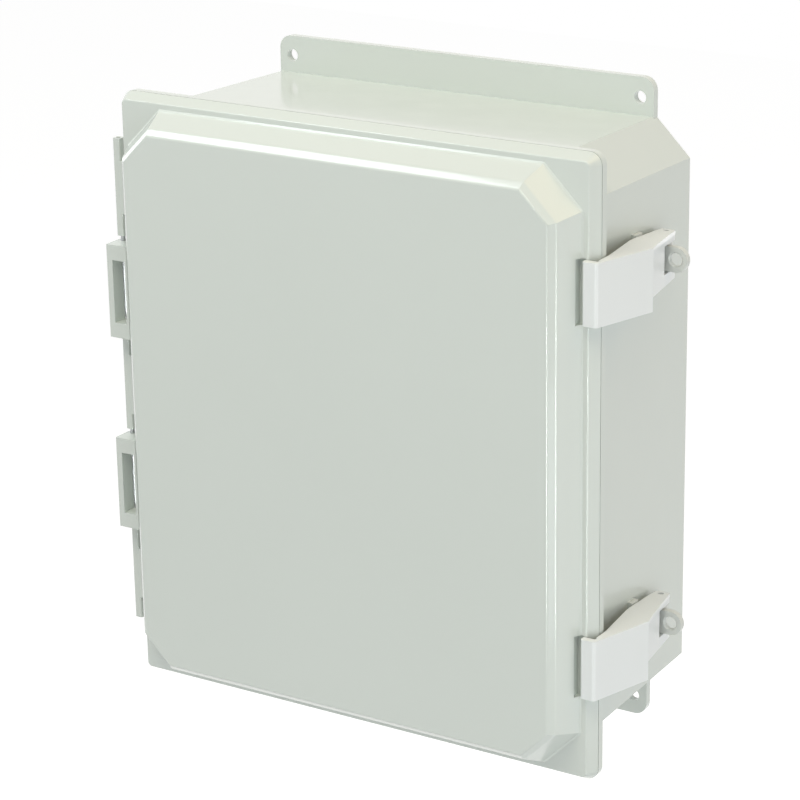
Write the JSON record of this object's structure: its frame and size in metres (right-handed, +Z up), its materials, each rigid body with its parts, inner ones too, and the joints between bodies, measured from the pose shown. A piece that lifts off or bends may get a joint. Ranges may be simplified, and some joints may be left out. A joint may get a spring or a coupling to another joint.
{
  "type": "hinged enclosure",
  "caption": "Wall-mounted polycarbonate enclosure with a raised, hinged cover, snap latch levers with padlock eyes, and mounting tabs above and below.",
  "frame": {"origin": "centre of the four mounting holes, on the plane of the wall behind the box", "axes": "+Z up; the cover faces -Y; +X is to the right of someone who faces the cover"},
  "size_m": [0.3684, 0.1585, 0.4206],
  "materials": {
    "shell": "gloss",
    "latch": "satin",
    "seal": "matte",
    "steel": "satin",
    "brass": "satin"
  },
  "bodies": {
    "base": {"base": "shell", "hinge_pin_upper": "steel", "hinge_pin_lower": "steel", "panel_inserts": "brass", "latch_bracket_upper": "shell", "latch_bracket_lower": "shell", "bracket_seal_upper": "seal", "bracket_seal_lower": "seal", "bracket_screws_upper": "steel", "bracket_screws_lower": "steel", "bracket_washers_upper": "seal", "bracket_washers_lower": "seal", "bracket_nuts_upper": "steel", "bracket_nuts_lower": "steel", "latch_pin_upper": "steel", "latch_pin_lower": "steel"},
    "cover": {"cover": "shell", "cover_gasket": "seal"},
    "latch_upper": {"latch_lever_upper": "latch"},
    "latch_lower": {"latch_lever_lower": "latch"}
  },
  "joints": [
    {"name": "cover_hinge", "type": "hinge", "parent": "base", "child": "cover", "pos_m": [-0.17815, -0.12574, 0], "axis": [0, 0, -1], "range_deg": [0, 180]},
    {"name": "latch_upper_pivot", "type": "hinge", "parent": "base", "child": "latch_upper", "pos_m": [0.167, -0.04625, 0.115], "axis": [0, 0, 1], "range_deg": [0, 30]},
    {"name": "latch_lower_pivot", "type": "hinge", "parent": "base", "child": "latch_lower", "pos_m": [0.167, -0.04625, -0.118], "axis": [0, 0, 1], "range_deg": [0, 30]}
  ]
}
